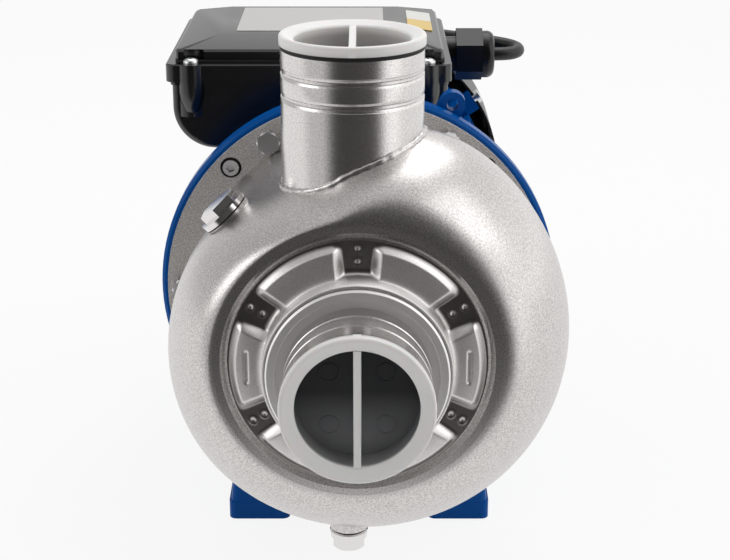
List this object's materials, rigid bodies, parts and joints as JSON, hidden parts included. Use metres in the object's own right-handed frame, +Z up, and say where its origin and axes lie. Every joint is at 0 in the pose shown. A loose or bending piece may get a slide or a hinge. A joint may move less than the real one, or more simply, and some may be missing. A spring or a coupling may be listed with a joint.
{
  "type": "centrifugal pump",
  "caption": "Close-coupled centrifugal pump: stainless spiral casing with suction and discharge ports, cast bracket with feet, fan-cooled motor, terminal box and supply lead.",
  "frame": {"origin": "on the floor, in the middle of the four foot bolt holes", "axes": "+X to the right as seen from the suction port, +Y along the shaft from the suction port to the fan, +Z up"},
  "size_m": [0.2512, 0.7548, 0.345],
  "materials": {
    "stainless_body": "satin, bead-blasted stainless sheet",
    "stainless_bright": "bright stainless",
    "stainless_inner": "drawn stainless, inside",
    "zinc_steel": "zinc-plated fasteners",
    "blue_enamel": "gloss blue enamel on cast iron",
    "motor_paint": "gloss blue enamel on aluminium",
    "cover_coat": "black powder coat on sheet steel",
    "bearing_steel": "ground steel",
    "core_steel": "stacked sheet",
    "winding_varnish": "varnished copper",
    "seal_ceramic": "ceramic",
    "seal_carbon": "carbon",
    "black_rubber": "matt black rubber",
    "plug_plastic": "translucent white polyethylene",
    "box_plastic": "black moulded ABS",
    "gland_plastic": "black nylon",
    "fan_plastic": "black polypropylene",
    "capacitor_shell": "light grey shell",
    "cord_rubber": "black cable sheath"
  },
  "bodies": {
    "pump": {"spiral_casing": "stainless_body", "discharge_nozzle": "stainless_body", "suction_nozzle": "stainless_body", "suction_plate": "stainless_body", "drain_boss": "stainless_body", "fill_boss": "stainless_body", "suction_collar": "stainless_bright", "suction_thread_ring": "stainless_bright", "discharge_thread_ring": "stainless_bright", "casing_cover": "stainless_inner", "wear_plate": "stainless_inner", "wave_spring": "stainless_inner", "flange_hex_bolts": "zinc_steel", "flange_socket_screws": "zinc_steel", "tie_rods": "zinc_steel", "fan_cover_screws": "zinc_steel", "lid_screws": "zinc_steel", "motor_bracket": "blue_enamel", "motor_frame": "motor_paint", "rear_shield": "motor_paint", "fan_cover": "cover_coat", "front_bearing_outer": "bearing_steel", "rear_bearing_outer": "bearing_steel", "stator_core": "core_steel", "stator_windings": "winding_varnish", "seal_seat": "seal_ceramic", "casing_gasket": "black_rubber", "suction_plug_gasket": "black_rubber", "discharge_plug_gasket": "black_rubber", "box_gasket": "black_rubber", "gland_seal": "black_rubber", "fill_washer": "black_rubber", "drain_washer": "black_rubber", "box_base": "box_plastic", "box_lid": "box_plastic", "gland_body": "gland_plastic", "gland_nut": "gland_plastic", "gland_locknut": "gland_plastic", "terminal_board": "gland_plastic", "run_capacitor": "capacitor_shell", "supply_cord": "cord_rubber", "cord_coil": "cord_rubber", "mains_plug": "cord_rubber"},
    "rotor": {"shaft": "stainless_inner", "rotor_core": "core_steel", "front_bearing_inner": "bearing_steel", "rear_bearing_inner": "bearing_steel", "impeller": "stainless_inner", "impeller_nut": "stainless_inner", "impeller_washer": "stainless_inner", "impeller_key": "zinc_steel", "seal_ring": "seal_carbon", "seal_spring": "bearing_steel", "splash_ring": "black_rubber", "fan": "fan_plastic", "fan_clip": "stainless_inner"},
    "suction_transport_plug": {"suction_plug": "plug_plastic"},
    "discharge_transport_plug": {"discharge_plug": "plug_plastic"},
    "fill_screw": {"fill_plug": "stainless_bright"},
    "drain_screw": {"drain_plug": "stainless_bright"}
  },
  "joints": [
    {"name": "shaft_turn", "type": "hinge", "parent": "pump", "child": "rotor", "pos_m": [0, 0, 0.17], "axis": [0, 1, 0], "continuous": true},
    {"name": "suction_plug_out", "type": "slide", "parent": "pump", "child": "suction_transport_plug", "axis": [0, -1, 0], "range_m": [0, 0.034]},
    {"name": "discharge_plug_out", "type": "slide", "parent": "pump", "child": "discharge_transport_plug", "axis": [0, 0, 1], "range_m": [0, 0.034]},
    {"name": "fill_plug_out", "type": "slide", "parent": "pump", "child": "fill_screw", "axis": [-0.6884, 0, 0.7254], "range_m": [0, 0.014]},
    {"name": "drain_plug_out", "type": "slide", "parent": "pump", "child": "drain_screw", "axis": [0, 0, -1], "range_m": [0, 0.014]}
  ]
}
